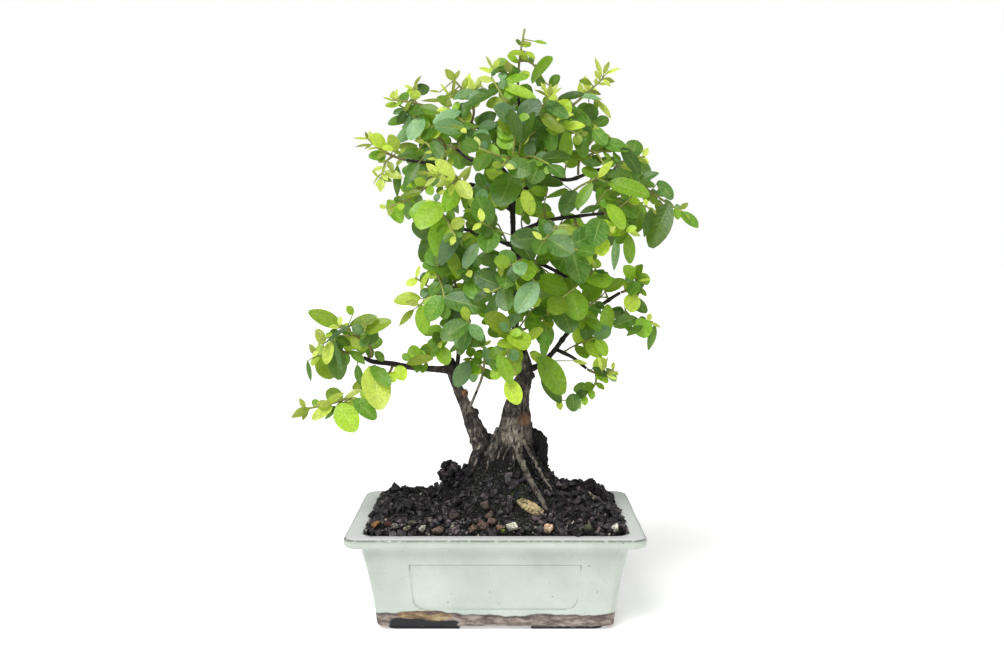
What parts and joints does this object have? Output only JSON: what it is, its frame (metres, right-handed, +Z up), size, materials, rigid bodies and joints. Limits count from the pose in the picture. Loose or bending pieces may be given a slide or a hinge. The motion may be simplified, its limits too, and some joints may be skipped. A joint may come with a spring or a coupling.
{
  "type": "serissa bonsai",
  "caption": "Small twin-trunk bonsai tree with round glossy leaves, surface roots and a soil mound in a rectangular glazed ceramic pot.",
  "frame": {"origin": "middle of the object's footprint, under the middle of the pot, on the surface it stands on", "axes": "+X along the pot's long side, with the low branch towards -X; -Y towards the viewer of the picture; +Z up"},
  "size_m": [0.2356, 0.1422, 0.3441],
  "materials": {
    "glaze": "glossy pale celadon glaze over a bare brown clay foot",
    "mesh_plastic": "matte black moulded mesh",
    "potting_mix": "damp dark bark-based potting mix",
    "bark": "rough grey-brown bark",
    "bark_chip": "split tan bark",
    "leaf_deep": "mature dark green leaf, semi-gloss",
    "leaf_blue": "blue-green waxy leaf",
    "leaf_mixed": "mid-green leaf, semi-gloss",
    "leaf_bright": "bright green leaf, semi-gloss",
    "leaf_yellow": "yellow-green new leaf, satin",
    "leaf_young": "pale young leaf, satin"
  },
  "bodies": {
    "root": {"pot": "glaze", "drain_mesh_left": "mesh_plastic", "drain_mesh_right": "mesh_plastic", "soil": "potting_mix", "trunk": "bark", "bark_flake": "bark_chip", "spray_back_left_tip": "leaf_mixed", "spray_back_low_tip": "leaf_deep", "spray_back_middle_tip": "leaf_mixed", "spray_back_right_tip": "leaf_deep", "spray_back_top_tip": "leaf_bright", "spray_back_upper_tip": "leaf_mixed", "spray_crown_back": "leaf_mixed", "spray_crown_front": "leaf_blue", "spray_crown_tip": "leaf_bright", "spray_front_low_side": "leaf_deep", "spray_front_low_tip": "leaf_yellow", "spray_front_middle_side": "leaf_deep", "spray_front_middle_tip": "leaf_deep", "spray_front_top_side": "leaf_deep", "spray_front_top_tip": "leaf_mixed", "spray_left_crown": "leaf_bright", "spray_left_front_inner": "leaf_mixed", "spray_left_front_tip": "leaf_bright", "spray_left_hang": "leaf_blue", "spray_left_middle_back": "leaf_mixed", "spray_left_middle_front": "leaf_mixed", "spray_left_middle_tip": "leaf_mixed", "spray_left_rosette": "leaf_deep", "spray_left_shoot": "leaf_yellow", "spray_left_top_front": "leaf_blue", "spray_left_top_rise": "leaf_young", "spray_left_top_tip": "leaf_yellow", "spray_left_upper_back": "leaf_mixed", "spray_left_upper_front": "leaf_young", "spray_left_upper_hang": "leaf_mixed", "spray_left_upper_rise": "leaf_blue", "spray_left_upper_tip": "leaf_young", "spray_low_left_down": "leaf_yellow", "spray_low_left_inner": "leaf_yellow", "spray_low_left_tip": "leaf_mixed", "spray_low_left_under": "leaf_yellow", "spray_low_left_up": "leaf_bright", "spray_low_right_inner": "leaf_bright", "spray_low_right_middle": "leaf_bright", "spray_low_right_side": "leaf_deep", "spray_low_right_tip": "leaf_bright", "spray_low_right_under": "leaf_deep", "spray_right_bent_tip": "leaf_bright", "spray_right_middle_front": "leaf_yellow", "spray_right_middle_rise": "leaf_bright", "spray_right_middle_tip": "leaf_bright", "spray_right_top_back": "leaf_deep", "spray_right_top_front": "leaf_yellow", "spray_right_top_tip": "leaf_young", "spray_right_upper_back": "leaf_mixed", "spray_right_upper_middle": "leaf_mixed", "spray_right_upper_rise": "leaf_deep", "spray_right_upper_tip": "leaf_deep"}
  },
  "joints": []
}
